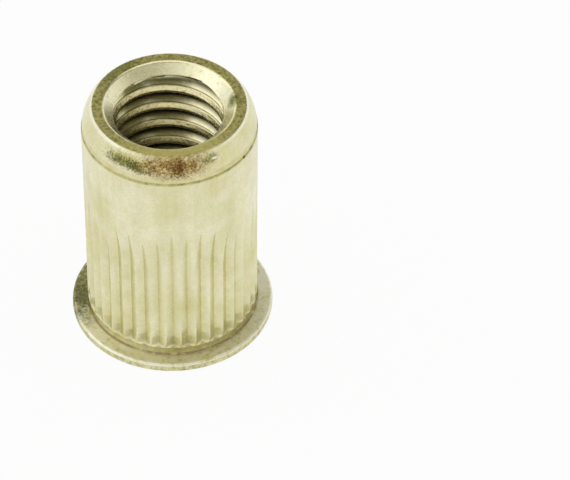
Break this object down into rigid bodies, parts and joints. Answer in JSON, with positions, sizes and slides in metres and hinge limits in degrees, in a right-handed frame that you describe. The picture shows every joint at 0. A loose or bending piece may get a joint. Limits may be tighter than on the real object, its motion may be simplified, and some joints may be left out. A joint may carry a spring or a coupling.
{
  "type": "rivet nut",
  "caption": "Blind rivet nut with a small flat flange, knurled collapsible shank, rounded open nose and threaded bore, for fixing a screw to thin sheet.",
  "frame": {"origin": "centre of the flange's outer face, at the base", "axes": "+Z along the nut's axis, from the flange to the threaded nose; one knurl groove is centred on +X"},
  "size_m": [0.0126, 0.0126, 0.0167],
  "materials": {
    "zinc_plated_steel": "cold formed steel, zinc plated, pale yellow passivation, satin"
  },
  "bodies": {
    "root": {"rivet_nut": "zinc_plated_steel"}
  },
  "joints": []
}
